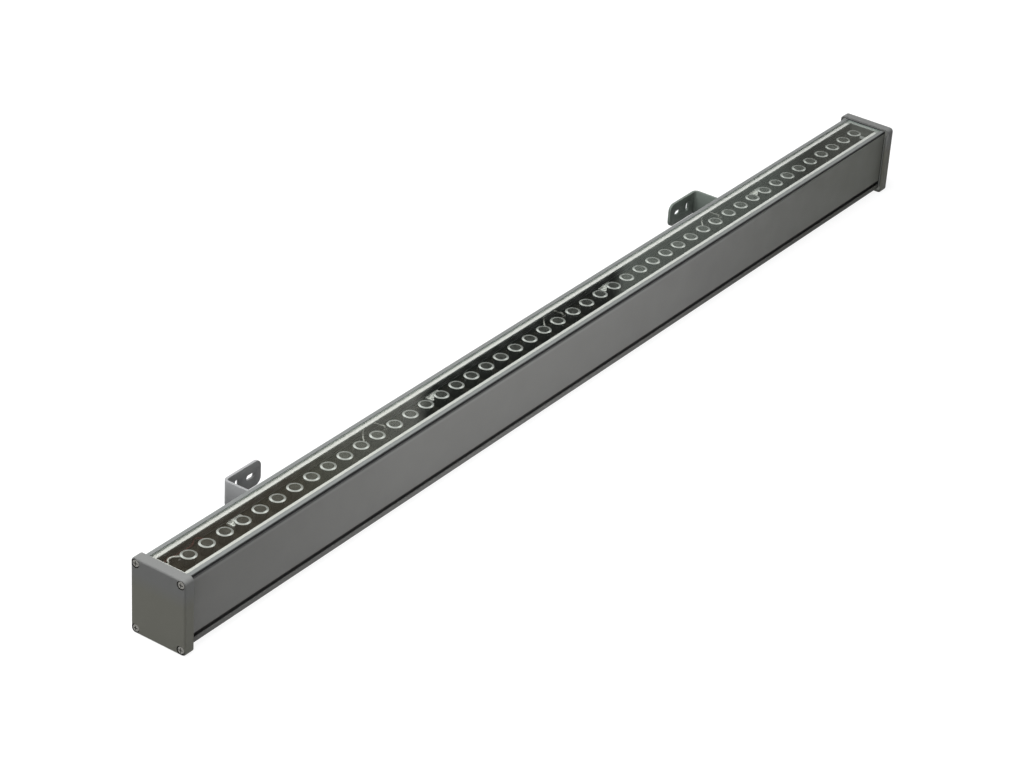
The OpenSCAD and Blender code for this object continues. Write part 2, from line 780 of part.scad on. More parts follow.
gasket_win_y = port_high_y - port_r - loose;
gasket_win_z = [port_low_z + port_r + loose, rail_z - over];

module end_gasket_far() {
    color([0.08, 0.08, 0.08]) difference() {
        along_x(x_far, gasket_t) translate([-body_y, 0]) round_rect(body_w, glass_top, body_edge_r);
        translate([x_far - over, -gasket_win_y, gasket_win_z[0]])
            cube([gasket_t + 2 * over, 2 * gasket_win_y, gasket_win_z[1] - gasket_win_z[0]]);
        translate([x_far - over, -ledge_y, gasket_win_z[1] - over])
            cube([gasket_t + 2 * over, 2 * ledge_y, ledge_top + loose - gasket_win_z[1] + over]);
        for (p = port_places) translate([0, p[0], p[1]])
            rod_x(x_far - over, gasket_t + 2 * over, m4[0] + clear_hole);
    }
}

module end_gasket_near() {
    mirror([1, 0, 0]) end_gasket_far();
}

// Countersunk screws of the end plates, flush with the plate
module plate_screws_far() {
    color([0.7, 0.7, 0.7]) for (p = port_places)
        translate([x_far + gasket_t + plate_t - 2 * tap_clear, p[0], p[1]]) rotate([0, 90, 0]) difference() {
            union() {
                translate([0, 0, -sink_d]) cylinder(r1 = m4[0], r2 = m4[1], h = sink_d);
                translate([0, 0, -sink_d - plate_screw_len])
                    cylinder(r = port_hole_r - tap_clear, h = plate_screw_len + sink_d / 2);
            }
            for (a = [0, 90]) rotate([0, 0, a]) translate([-m4[1] / 2, -cross_w / 2, -sink_d / 2])
                cube([m4[1], cross_w, sink_d]);
        }
}

module plate_screws_near() {
    mirror([1, 0, 0]) plate_screws_far();
}

// End cap: a soft-edged slab with a pocket for the end plate and four sunk screws
module cap_corner() {
    cylinder(r = cap_r, h = cap_t - cap_edge_r);
    translate([0, 0, cap_t - cap_edge_r]) rotate_extrude()
        translate([cap_r - cap_edge_r, 0]) intersection() {
            circle(r = cap_edge_r);
            square([cap_edge_r, cap_edge_r]);
        }
    cylinder(r = cap_r - cap_edge_r, h = cap_t);
}

module cap_slab() {
    hull() for (y = [-cap_y + cap_r, cap_y - cap_r], z = [-cap_under + cap_r, cap_top_z - cap_r])
        translate([x_far + gasket_t, y, z]) rotate([0, 90, 0]) cap_corner($fn = 40);
}

module cap_with_pocket() {
    difference() {
        cap_slab();
        along_x(x_far + gasket_t - over, plate_t + over) plate_outline(pocket_gap);
        for (s = [-1, 1], z = screw_zs) translate([0, s * screw_y, z]) {
            rod_x(x_far, cap_t + gasket_t + over, m4[0] + clear_hole);
            rod_x(x_cap_far - counterbore_d, counterbore_d + over, counterbore_r);
        }
    }
}

module end_cap_far() {
    color([0.4, 0.41, 0.4]) difference() {
        cap_with_pocket();
        translate([0, 0, inlet_z]) rod_x(x_far, cap_t + gasket_t + over, inlet_r);
    }
}

module end_cap_near() {
    color([0.4, 0.41, 0.4]) mirror([1, 0, 0]) cap_with_pocket();
}

module cap_screws_far() {
    len = cap_t - counterbore_d - tap_clear;
    color([0.75, 0.75, 0.74]) for (s = [-1, 1], z = screw_zs)
        translate([x_cap_far - counterbore_d, s * screw_y, z]) rotate([0, 90, 0]) pan_screw(m4, len);
}

module cap_screws_near() {
    mirror([1, 0, 0]) cap_screws_far();
}

// Cable inlet on the far cap
module at_inlet() {
    translate([x_cap_far, 0, inlet_z]) rotate([0, 90, 0]) children();
}

module gland_body() {
    stem = cap_t - plate_t - loose;
    color([0.12, 0.12, 0.12]) at_inlet() difference() {
        union() {
            translate([0, 0, -stem]) cylinder(r = inlet_r - inlet_gap, h = stem + over);
            cylinder(r = hex_r, h = hex_t, $fn = 6);
            cylinder(r = inlet_r - inlet_gap, h = hex_t + neck_len);
        }
        translate([0, 0, -stem - over]) cylinder(r = inlet_bore_r, h = stem + hex_t + neck_len + 2 * over);
        translate([0, 0, hex_t]) cylinder(r = inlet_bore_r + over, h = neck_len + over);
    }
}

module gland_seal() {
    color([0.16, 0.16, 0.16]) at_inlet() translate([0, 0, hex_t + loose]) difference() {
        cylinder(r = inlet_bore_r + over - seat, h = seal_len);
        translate([0, 0, -over]) cylinder(r = cable_r, h = seal_len + 2 * over);
    }
}

module gland_nut() {
    r = inlet_r + inlet_gap;
    color([0.12, 0.12, 0.12]) at_inlet() translate([0, 0, hex_t + seat]) difference() {
        union() {
            cylinder(r = hex_r, h = nut_len * nut_hex_share, $fn = 6);
            cylinder(r = r + nut_wall, h = nut_len - 2 * nut_wall);
            translate([0, 0, nut_len - 2 * nut_wall])
                cylinder(r1 = r + nut_wall, r2 = r - nut_wall, h = 2 * nut_wall);
        }
        translate([0, 0, -over]) cylinder(r = r, h = seal_len + loose + over);
        cylinder(r = inlet_bore_r - over / 2, h = nut_len + over);
    }
}

// Plan of a block from its low corner, with its far corner rounded
module bend_corner(w, d, r) {
    square([w - r, d]);
    square([w, d - r]);
    translate([w - r, d - r]) circle(r = r);
}

// Plan of a flat bar bent once: w along X, d along Y, its bend at the far corner
module bent_bar(w, d, t, r) {
    difference() {
        bend_corner(w, d, r + t);
        translate([-over, -over]) bend_corner(w - t + over, d - t + over, r);
    }
}

// Bracket arm: a flat bar bent once, tilting on its web's round end, slotted for the wall
module arm_corner_cuts() {
    r = flange_corner_r;
    along_y(wall_y - arm_t - over, arm_t + 2 * over) translate([web_x - wall_flange, pivot_z])
        for (m = [0, 1]) mirror([0, m]) translate([0, -arm_h / 2]) difference() {
            translate([-over, -over]) square([r + over, r + over]);
            translate([r, r]) circle(r = r);
        }
}

module arm_slots() {
    along_y(wall_y - arm_t - over, arm_t + 2 * over) {
        translate([web_x - level_slot_x, pivot_z]) slot(slot_len, slot_w);
        translate([web_x - upright_slot_x, pivot_z]) rotate(90) slot(slot_len, slot_w);
    }
}

module bracket_arm_right() {
    color([0.36, 0.36, 0.37]) difference() {
        union() {
            translate([web_x - wall_flange, pivot_y, pivot_z - arm_h / 2]) linear_extrude(height = arm_h)
                bent_bar(wall_flange, wall_y - pivot_y, arm_t, bend_r);
            translate([0, pivot_y, pivot_z]) rod_x(web_in_x, arm_t, arm_h / 2);
        }
        translate([0, pivot_y, pivot_z]) rod_x(web_in_x - over, arm_t + 2 * over, pivot_r + pivot_clear);
        arm_corner_cuts();
        arm_slots();
    }
}

module bracket_arm_left() {
    mirror([1, 0, 0]) bracket_arm_right();
}

// Bracket foot: an angle on the housing's back, with an ear that the arm tilts on
module bracket_foot_right() {
    color([0.36, 0.36, 0.37]) difference() {
        union() {
            translate([ear_x - foot_len, pivot_y, pivot_z - foot_h / 2]) linear_extrude(height = foot_h)
                mirror([0, 1]) bent_bar(foot_len, pivot_y - body_y, foot_t, foot_bend_r);
            translate([0, pivot_y, pivot_z]) rod_x(ear_x - foot_t, foot_t, foot_ear_r);
        }
        translate([0, pivot_y, pivot_z])
            rod_x(ear_x - foot_t - over, foot_t + 2 * over, pivot_r + pivot_clear);
        for (x = foot_bolt_xs) along_y(body_y - over, foot_t + 2 * over)
            translate([ear_x - x, groove_mid]) circle(r = m5[0] + clear_hole);
    }
}

module bracket_foot_left() {
    mirror([1, 0, 0]) bracket_foot_right();
}

// Square-headed bolts in the fixing groove, and their flange nuts
module foot_bolts() {
    len = foot_t + nut_flange_t + m5[2] + bolt_end;
    color([0.7, 0.7, 0.7]) for (s = [0, 1]) mirror([s, 0, 0]) for (x = foot_bolt_xs)
        translate([ear_x - x, 0, groove_mid]) {
            translate([-bolt_head_w / 2, body_y - groove_lip - bolt_head_t, -bolt_head_w / 2])
                cube([bolt_head_w, bolt_head_t, bolt_head_w]);
            translate([0, body_y - groove_lip - bolt_head_t / 2, 0]) rotate([-90, 0, 0])
                cylinder(r = m5[0], h = bolt_head_t / 2 + groove_lip + len);
        }
}

module foot_nuts() {
    color([0.7, 0.7, 0.7]) for (s = [0, 1]) mirror([s, 0, 0]) for (x = foot_bolt_xs)
        translate([ear_x - x, body_y + foot_t, groove_mid]) rotate([-90, 0, 0])
            flange_nut(m5[0], m5[1], m5[2]);
}

module flange_nut(bolt_r, hex, h) {
    difference() {
        union() {
            cylinder(r = nut_flange_r, h = nut_flange_t);
            cylinder(r = hex, h = nut_flange_t + h, $fn = 6);
        }
        translate([0, 0, -over]) cylinder(r = bolt_r + tap_clear, h = nut_flange_t + h + 2 * over);
    }
}

// Tilt joint: bolt head outside the arm, washer between arm and foot, nut inside
module at_pivots() {
    for (s = [0, 1]) mirror([s, 0, 0]) translate([0, pivot_y, pivot_z]) children();
}

module pivot_washers() {
    color([0.85, 0.85, 0.83]) at_pivots() difference() {
        rod_x(web_in_x - play - washer_t, washer_t, washer_r);
        rod_x(web_in_x - play - washer_t - over, washer_t + 2 * over, pivot_r + pivot_clear);
    }
}

module pivot_bolts() {
    end = ear_x - foot_t - nut_flange_t - pivot_nut_h - bolt_end;
    color([0.7, 0.7, 0.7]) at_pivots() {
        rod_x(end, web_x + play + over - end, pivot_r);
        translate([web_x + play, 0, 0]) rotate([0, 90, 0])
            cylinder(r = pivot_head_r, h = pivot_head_h, $fn = 6);
    }
}

module pivot_nuts() {
    color([0.7, 0.7, 0.7]) at_pivots() translate([ear_x - foot_t, 0, 0]) rotate([0, -90, 0])
        difference() {
            union() {
                cylinder(r = pivot_head_r + nut_flange_t, h = nut_flange_t);
                cylinder(r = pivot_head_r, h = nut_flange_t + pivot_nut_h, $fn = 6);
            }
            translate([0, 0, -over])
                cylinder(r = pivot_r + tap_clear, h = nut_flange_t + pivot_nut_h + 2 * over);
        }
}

housing();
trim_rail_front();
trim_rail_back();
rail_gasket_front();
rail_gasket_back();
glass_cover();
glass_bed();
led_tray();
led_board(0);  // led_board_1
led_board(1);  // led_board_2
led_board(2);  // led_board_3
led_board(3);  // led_board_4
leds(0);  // leds_1
leds(1);  // leds_2
leds(2);  // leds_3
leds(3);  // leds_4
lens_holders(0);  // lens_holders_1
lens_holders(1);  // lens_holders_2
lens_holders(2);  // lens_holders_3
lens_holders(3);  // lens_holders_4
lenses(0);  // lenses_1
lenses(1);  // lenses_2
lenses(2);  // lenses_3
lenses(3);  // lenses_4
board_screws();
board_connectors();
link_wires();
feed_wires();
driver_base();
driver_cover();
driver_board();
driver_parts();
terminal_block();
inner_screws();
supply_leads();
end_plate_near();
end_plate_far();
end_gasket_near();
end_gasket_far();
plate_screws_near();
plate_screws_far();
end_cap_near();
end_cap_far();
cap_screws_near();
cap_screws_far();
gland_body();
gland_seal();
gland_nut();
bracket_foot_left();
bracket_foot_right();
foot_bolts();
foot_nuts();
bracket_arm_left();
bracket_arm_right();
pivot_washers();
pivot_bolts();
pivot_nuts();
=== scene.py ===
import itertools
import math

import bmesh
import bpy
from mathutils import Matrix, Vector


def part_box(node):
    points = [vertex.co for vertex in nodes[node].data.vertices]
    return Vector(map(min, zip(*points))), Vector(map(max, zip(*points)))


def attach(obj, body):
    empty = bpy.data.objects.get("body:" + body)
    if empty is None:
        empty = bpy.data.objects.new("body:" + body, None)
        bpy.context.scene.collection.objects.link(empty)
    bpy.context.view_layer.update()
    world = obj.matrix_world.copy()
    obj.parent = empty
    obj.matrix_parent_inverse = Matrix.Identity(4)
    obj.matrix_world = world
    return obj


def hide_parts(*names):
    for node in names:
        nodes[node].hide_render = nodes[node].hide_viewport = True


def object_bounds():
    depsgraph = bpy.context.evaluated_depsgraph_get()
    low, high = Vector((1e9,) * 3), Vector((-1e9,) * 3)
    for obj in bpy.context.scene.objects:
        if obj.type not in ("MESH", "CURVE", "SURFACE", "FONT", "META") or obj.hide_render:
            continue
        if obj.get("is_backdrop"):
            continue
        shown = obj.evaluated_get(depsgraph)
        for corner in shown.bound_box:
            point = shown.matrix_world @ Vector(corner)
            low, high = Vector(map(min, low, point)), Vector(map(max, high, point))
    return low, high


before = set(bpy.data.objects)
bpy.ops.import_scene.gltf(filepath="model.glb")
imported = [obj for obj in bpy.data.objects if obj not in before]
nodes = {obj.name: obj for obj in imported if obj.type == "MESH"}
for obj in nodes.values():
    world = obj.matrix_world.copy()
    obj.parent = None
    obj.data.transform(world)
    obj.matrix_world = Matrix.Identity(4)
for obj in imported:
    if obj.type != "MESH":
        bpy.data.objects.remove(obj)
cad_lo, cad_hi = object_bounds()

# Lengths are in metres; those written in millimetres are times MM
MM = 0.001
WELD = 0.002 * MM
BOARDS = range(1, 5)
# The lamp's two ends, and the way that each one's outer face looks along x
ENDS = (("near", -1), ("far", 1))


# Colours are written as sRGB bytes
def lin(r, g, b):
    def one(byte):
        share = byte / 255
        if share <= 0.04045:
            return share / 12.92
        return ((share + 0.055) / 1.055) ** 2.4
    return (one(r), one(g), one(b), 1.0)


def scaled(color, factor):
    """A lighter or darker colour."""
    return tuple(min(1, c * factor) for c in color[:3]) + (1,)


# Shader nodes

def put(tree, socket, value):
    """Links an output to an input, or sets the input to a number, a vector or a colour."""
    if isinstance(value, bpy.types.NodeSocket):
        tree.links.new(value, socket)
    else:
        socket.default_value = value


def fill(tree, node, named):
    """Fills inputs by name, with underscores for the spaces in it."""
    for name, value in named.items():
        put(tree, node.inputs[name.replace("_", " ")], value)


def add(tree, kind, *values, **named):
    """A new node. Values fill its first inputs in turn, and named ones the inputs of that name."""
    node = tree.nodes.new("ShaderNode" + kind)
    for socket, value in zip(node.inputs, values):
        put(tree, socket, value)
    fill(tree, node, named)
    return node


def calc(tree, operation, *values):
    """A product, a maximum or another calculation on outputs and numbers."""
    node = add(tree, "Math", *values)
    node.operation = operation
    return node.outputs[0]


def ramp(tree, value, low, high, start=0.0, end=1.0):
    """Runs from start to end while the value runs from low to high."""
    node = add(tree, "MapRange", Value=value, From_Min=low, From_Max=high, To_Min=start, To_Max=end)
    return node.outputs["Result"]


def empty_tree(owner):
    """The node tree of a material or a world, with nothing in it."""
    owner.use_nodes = True
    owner.node_tree.nodes.clear()
    return owner.node_tree


# Procedural materials

# The sockets of a Mix node that mixes colours
MIX_SHARE = 0
MIX_FROM = 6
MIX_TO = 7
MIX_RESULT = 2


class Material:
    """A Principled material whose colour, gloss and bump change with object coordinates."""

    def __init__(self, name, color, rough=0.5, metallic=0.0, spec=0.5):
        self.data = bpy.data.materials.new(name)
        self.data.use_nodes = True
        self.data.diffuse_color = color
        self.tree = self.data.node_tree
        self.shader = self.tree.nodes["Principled BSDF"]
        self.set(Base_Color=color, Roughness=rough, Metallic=metallic, Specular_IOR_Level=spec)
        self.coords = add(self.tree, "TexCoord").outputs["Object"]
        self.normal = None

    def set(self, **named):
        fill(self.tree, self.shader, named)

    def xyz(self):
        """The three object coordinates."""
        return add(self.tree, "SeparateXYZ", self.coords).outputs

    def noise(self, scale, detail=4.0, rough=0.6, stretch=None):
        coords = self.coords
        if stretch:
            coords = add(self.tree, "Mapping", Vector=coords, Scale=stretch).outputs["Vector"]
        texture = add(self.tree, "TexNoise", Vector=coords, Scale=scale, Detail=detail, Roughness=rough)
        return texture.outputs["Fac"]

    def vary(self, fac, other, low=0.0, high=1.0, amount=1.0):
        """Mixes the colour so far with another one where a texture or a coordinate runs from low to high."""
        base = self.shader.inputs["Base Color"]
        so_far = base.links[0].from_socket if base.is_linked else base.default_value
        mix = add(self.tree, "Mix")
        mix.data_type = "RGBA"
        put(self.tree, mix.inputs[MIX_FROM], so_far)
        put(self.tree, mix.inputs[MIX_TO], other)
        put(self.tree, mix.inputs[MIX_SHARE], ramp(self.tree, fac, low, high, end=amount))
        put(self.tree, base, mix.outputs[MIX_RESULT])

    def vary_gloss(self, fac, smooth, rough):
        """Lets the roughness change by a texture."""
        self.set(Roughness=ramp(self.tree, fac, low=0.3, high=0.7, start=smooth, end=rough))

    def bump(self, fac, depth, strength):
        node = add(self.tree, "Bump", Distance=depth, Strength=strength, Height=fac)
        if self.normal:
            put(self.tree, node.inputs["Normal"], self.normal)
        self.normal = node.outputs["Normal"]
        self.set(Normal=self.normal)


def powder(name, color, rough=0.5, grain=0.03 * MM, spec=0.1):
    """Fine powder coat: a small orange peel, soft mottling and a slight change of gloss."""
    m = Material(name, color, rough, spec=spec)
    m.vary(m.noise(scale=9, detail=3), scaled(color, 1.25), low=0.45, high=0.8, amount=0.35)
    m.vary(m.noise(scale=3200, detail=2), scaled(color, 0.82), low=0.5, high=0.75, amount=0.5)
    m.vary_gloss(m.noise(scale=40), rough * 0.9, min(1, rough * 1.12))
    m.bump(m.noise(scale=2600, detail=3), grain, strength=0.7)
    m.bump(m.noise(scale=420, detail=2), grain * 1.5, strength=0.5)
    return m


ALONG_X = (2, 900, 900)
ACROSS_X = (900, 40, 40)
ALL_WAYS = (500, 500, 500)
SOLDER_SPECKS = (300, 300, 300)


def metal(name, color, rough=0.3, metallic=1.0, lines=ALONG_X, grain=0.012 * MM):
    """Satin metal with drawing lines; a stretch that is the same all ways makes specks of them."""
    m = Material(name, color, rough, metallic)
    drawn = m.noise(scale=1, rough=0.7, stretch=lines)
    m.vary(drawn, scaled(color, 0.82), low=0.4, high=0.7, amount=0.6)
    m.vary_gloss(m.noise(scale=60), rough * 0.85, rough * 1.2)
    m.bump(drawn, grain, strength=0.8)
    return m.data


def screw_metal(name, color, rough, metallic=1.0):
    """Metal with specks and a finer grain, for small turned parts."""
    return metal(name, color, rough, metallic, lines=ALL_WAYS, grain=0.01 * MM)


def plastic(name, color, rough=0.45, grain=0.02 * MM, spec=0.5):
    """Moulded plastic, slightly mottled."""
    m = Material(name, color, rough, spec=spec)
    m.vary(m.noise(scale=120), scaled(color, 0.8), low=0.45, high=0.7, amount=0.35)
    m.vary_gloss(m.noise(scale=300, detail=3), rough * 0.85, min(1, rough * 1.15))
    m.bump(m.noise(scale=1500, detail=3), grain, strength=0.6)
    return m.data


def fine_plastic(name, color, rough=0.45):
    """Plastic with a finer grain, for wires and small parts."""
    return plastic(name, color, rough, grain=0.01 * MM)


# Paints and metals
bracket_paint = powder("bracket_paint", lin(156, 157, 158)).data
# The right bracket: the same paint with painted shade, darker than the left's
bracket_painted_shade = powder("bracket_painted_shade", lin(115, 123, 117)).data
rail_metal = metal("rail_metal", lin(126, 129, 128), rough=0.5, metallic=0.2)
# Painted shade on the rails' outer lips
rail_lip_painted_shade = metal("rail_lip_painted_shade", lin(66, 68, 67), rough=0.5, metallic=0.2)
bare_metal = metal("bare_metal", lin(170, 172, 170), rough=0.4)
tray_metal = metal("tray_metal", lin(186, 188, 185), rough=0.5, metallic=0.3)
plate_metal = metal("plate_metal", lin(124, 126, 122), rough=0.5, metallic=0.3, lines=ACROSS_X)
steel = screw_metal("steel", lin(150, 148, 144), rough=0.3)
head_steel = screw_metal("head_steel", lin(138, 137, 132), rough=0.4, metallic=0.6)
# Painted shade for the screws' cross recesses and counterbores
painted_recess_shade = screw_metal("painted_recess_shade", lin(52, 51, 49), rough=0.5, metallic=0.3)
dark_steel = screw_metal("dark_steel", lin(70, 70, 70), rough=0.4)
solder = metal("solder", lin(205, 205, 200), rough=0.25, lines=SOLDER_SPECKS, grain=0.02 * MM)

# Rubber and plastics
gasket = plastic("gasket_rubber", lin(30, 31, 32), rough=0.75, grain=0.03 * MM, spec=0.2)
black = plastic("black_moulding", lin(38, 37, 36), rough=0.5)
gland_black = plastic("gland_black", lin(46, 46, 46), rough=0.42, grain=0.03 * MM)
white = plastic("white_moulding", lin(222, 222, 216), rough=0.42)
pad_mask = plastic("pad_mask", lin(52, 47, 40), rough=0.4, spec=0.3)
wire_skin = fine_plastic("wire_skin", lin(200, 199, 192), rough=0.42)
red_skin = fine_plastic("red_skin", lin(84, 40, 36))
lead_skin = fine_plastic("lead_skin", lin(90, 70, 60))
green = fine_plastic("green_board", lin(42, 92, 52), rough=0.35)
part_dark = fine_plastic("part_dark", lin(52, 52, 58), rough=0.4)
washer_skin = fine_plastic("washer_skin", lin(214, 214, 208), rough=0.4)
door = fine_plastic("wire_door", lin(168, 168, 162))
led_yellow = fine_plastic("led_phosphor", lin(238, 208, 96), rough=0.25)


def board_mat():
    """The boards' dark solder mask, with faint specks and flow marks along the board."""
    m = Material("board_mask", lin(32, 30, 26), rough=0.45, spec=0.1)
    m.vary(m.noise(scale=70, detail=5), lin(24, 23, 20), low=0.4, high=0.65, amount=0.8)
    m.vary(m.noise(scale=900, detail=2), lin(50, 45, 38), low=0.55, high=0.75, amount=0.5)
    m.bump(m.noise(scale=260, detail=3, stretch=(0.2, 1, 1)), 0.03 * MM, strength=0.7)
    return m.data


def housing_mat():
    """The housing's powder coat, with painted shade and a painted highlight that change with height, with
    length and inside the fixing grooves.
    """
    m = powder("housing_paint", lin(142, 142, 140), rough=0.55)
    x, y, z = m.xyz()
    side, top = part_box("housing")[1].yz
    # Painted highlight under the top edge and painted shade on it
    m.vary(z, lin(158, 158, 157), low=top - 5.0 * MM, high=top - 3.2 * MM, amount=0.6)
    m.vary(z, lin(84, 84, 84), low=top - 2.2 * MM, high=top - 0.3 * MM)
    # Painted shade: a little darker and warmer at the far end
    m.vary(x, lin(130, 132, 125), low=250 * MM, high=560 * MM, amount=0.85)
    # Painted shade: darker in the strip at the foot, and more so toward the far end
    foot = ramp(m.tree, z, low=5.5 * MM, high=5.0 * MM)
    m.vary(foot, lin(128, 128, 126), amount=0.7)
    far = ramp(m.tree, x, low=-100 * MM, high=450 * MM)
    far_foot_shade = calc(m.tree, "MULTIPLY", foot, far)
    m.vary(far_foot_shade, lin(88, 89, 85), amount=0.8)
    # Painted shade further in than the outer skin, which shows in the grooves, but not on the underside
    inside = ramp(m.tree, calc(m.tree, "ABSOLUTE", y), low=side - 0.8 * MM, high=side - 1.6 * MM)
    raised = ramp(m.tree, z, low=0.6 * MM, high=1.2 * MM)
    groove_shade = calc(m.tree, "MULTIPLY", inside, raised)
    m.vary(groove_shade, lin(88, 88, 87))
    return m.data


def cap_mat():
    """The caps' powder coat, slightly warmer low down: a painted tint of the light."""
    m = powder("cap_paint", lin(121, 122, 121), grain=0.04 * MM, spec=0.12)
    height = m.xyz()["Z"]
    # Painted light: a warmer tint low down
    m.vary(height, lin(121, 121, 113), low=62 * MM, high=46 * MM)
    return m.data


def sealant_mat():
    """Pale sealant, with painted light that makes it a little brighter toward the far end, and grey in the
    run across it.
    """
    m = Material("sealant", lin(194, 194, 189), rough=0.45, spec=0.3)
    length = m.xyz()["X"]
    # Painted light: brighter toward the far end
    m.vary(length, lin(214, 214, 210), low=-300 * MM, high=560 * MM)
    m.vary(length, lin(136, 142, 138), low=609 * MM, high=612 * MM, amount=0.85)
    m.vary(m.noise(scale=120), lin(176, 177, 172), low=0.45, high=0.7, amount=0.15)
    m.bump(m.noise(scale=300, detail=3), 0.05 * MM, strength=0.6)
    return m.data


def cover_glass_mat():
    """Clear glass. Light from lamps goes straight through it to what lies beneath."""
    m = Material("cover_glass", (0.99, 0.995, 0.993, 1), rough=0.0)
    m.set(Transmission_Weight=1.0, IOR=1.52)
    m.bump(m.noise(scale=6, detail=2), 0.02 * MM, strength=0.15)
    path = add(m.tree, "LightPath").outputs
    lighting = calc(m.tree, "MAXIMUM", path["Is Shadow Ray"], path["Is Diffuse Ray"])
    clear = add(m.tree, "BsdfTransparent", Color=(0.9, 0.92, 0.91, 1))
    mix = add(m.tree, "MixShader", lighting, m.shader.outputs[0], clear.outputs[0])
    put(m.tree, m.tree.nodes["Material Output"].inputs["Surface"], mix.outputs[0])
    return m.data


def glass_edge_mat():
    """The glass's ground edge."""
    m = Material("glass_edge", lin(158, 166, 162), rough=0.5)
    m.vary(m.noise(scale=300, stretch=(1, 1, 4)), lin(120, 130, 125), low=0.4, high=0.6, amount=0.8)
    m.bump(m.noise(scale=900, detail=3), 0.03 * MM, strength=0.6)
    return m.data


def lens_rim_mat():
    """Frosted rim, lighter where the mesh's shine value is high: a painted highlight."""
    m = Material("lens_rim", lin(104, 105, 102), rough=0.3, spec=0.4)
    bright = add(m.tree, "Attribute")
    bright.attribute_name = "shine"
    m.vary(bright.outputs["Fac"], lin(204, 205, 201))
    m.vary(m.noise(scale=240, detail=3), lin(150, 151, 148), low=0.5, high=0.7, amount=0.25)
    m.bump(m.noise(scale=700, detail=3), 0.03 * MM, strength=0.5)
    return m.data


def lens_face_mat():
    """Dark glassy face with faint pale streaks."""
    m = Material("lens_face", lin(58, 58, 55), rough=0.2, spec=0.35)
    m.vary(m.noise(scale=160, detail=3), lin(42, 42, 40), low=0.4, high=0.6, amount=0.8)
    streaks = m.noise(scale=1, stretch=(90, 900, 1))
    m.vary(streaks, lin(104, 105, 101), low=0.6, high=0.75, amount=0.6)
    m.bump(m.noise(scale=380, detail=2), 0.06 * MM, strength=0.5)
    return m.data


board = board_mat()
housing_paint = housing_mat()
cap_paint = cap_mat()
sealant = sealant_mat()
cover = cover_glass_mat()
glass_edge = glass_edge_mat()
lens_rim = lens_rim_mat()
lens_face = lens_face_mat()


# Solids of a CAD node

def islands(bm):
    """Groups of vertices that hang together by edges."""
    seen = set()
    found = []
    for first in bm.verts:
        if first in seen:
            continue
        seen.add(first)
        stack = [first]
        group = []
        while stack:
            vert = stack.pop()
            group.append(vert)
            for edge in vert.link_edges:
                other = edge.other_vert(vert)
                if other not in seen:
                    seen.add(other)
                    stack.append(other)
        found.append(group)
    return found


def solids(name):
    """The low and high corners of each solid of a node, from the near end to the far one."""
    bm = bmesh.new()
    bm.from_mesh(nodes[name].data)
    bmesh.ops.remove_doubles(bm, verts=bm.verts, dist=WELD)
    found = []
    for group in islands(bm):
        lo = Vector([min(v.co[i] for v in group) for i in range(3)])
        hi = Vector([max(v.co[i] for v in group) for i in range(3)])
        found.append((lo, hi))
    bm.free()
    return sorted(found, key=lambda corners: (corners[0].x, corners[0].y))


def middle(lo, hi):
    """The middle between two corners, as plain numbers."""
    return tuple((a + b) / 2 for a, b in zip(lo, hi))


# Looks of the CAD nodes: materials, smooth shading and softened edges

def coat(name, mat, smooth=True):
    """Gives a node one material."""
    o = nodes[name]
    o.data.materials.clear()
    o.data.materials.append(mat)
    for face in o.data.polygons:
        face.use_smooth = smooth
        face.material_index = 0
    return o


def weld(o):
    o.modifiers.new("weld", "WELD").merge_threshold = WELD


def bevel(o, width, angle, segments=2):
    """Rounds the edges that are sharper than an angle, by a width in millimetres."""
    edge = o.modifiers.new("edge", "BEVEL")
    edge.width = width * MM
    edge.segments = segments
    edge.limit_method = "ANGLE"
    edge.angle_limit = math.radians(angle)
    edge.harden_normals = True


def soften(name, mat, width):
    """Coats a node, joins the triangles of its flat faces and rounds its edges by a width in millimetres."""
    o = coat(name, mat)
    weld(o)
    flat = o.modifiers.new("flat", "DECIMATE")
    flat.decimate_type = "DISSOLVE"
    flat.angle_limit = math.radians(0.4)
    bevel(o, width, angle=32)


def soften_cap(name):
    """Keeps the triangles of a cap's big flat faces; weighted normals shade them flat."""
    o = coat(name, cap_paint)
    weld(o)
    bevel(o, width=0.15, angle=50)
    o.modifiers.new("even", "WEIGHTED_NORMAL").weight = 100


def soften_wire(name, mat):
    """Rounds the cut ends of wires."""
    o = coat(name, mat)
    weld(o)
    bevel(o, width=0.12, angle=60, segments=1)


# Node, material and the width of its softened edges in millimetres
COATS = (
    ("housing", housing_paint, 0.45),
    ("trim_rail_front", rail_metal, 0.18),
    ("trim_rail_back", rail_metal, 0.18),
    ("rail_gasket_front", gasket, 0.15),
    ("rail_gasket_back", gasket, 0.15),
    ("glass_bed", sealant, 0.05),
    ("led_tray", tray_metal, 0.2),
    ("board_screws", dark_steel, 0.12),
    ("driver_base", bare_metal, 0.2),
    ("driver_cover", bare_metal, 0.2),
    ("driver_board", green, 0.1),
    ("driver_parts", part_dark, 0.4),
    ("terminal_block", white, 0.3),
    ("inner_screws", steel, 0.12),
    ("gland_body", gland_black, 0.3),
    ("gland_seal", gasket, 0.4),
    ("gland_nut", gland_black, 0.35),
    ("bracket_foot_left", bracket_paint, 0.3),
    ("bracket_foot_right", bracket_painted_shade, 0.3),
    ("foot_bolts", steel, 0.2),
    ("foot_nuts", steel, 0.25),
    ("bracket_arm_left", bracket_paint, 0.35),
    ("bracket_arm_right", bracket_painted_shade, 0.35),
    ("pivot_washers", washer_skin, 0.1),
    ("pivot_bolts", steel, 0.3),
    ("pivot_nuts", steel, 0.3),
)
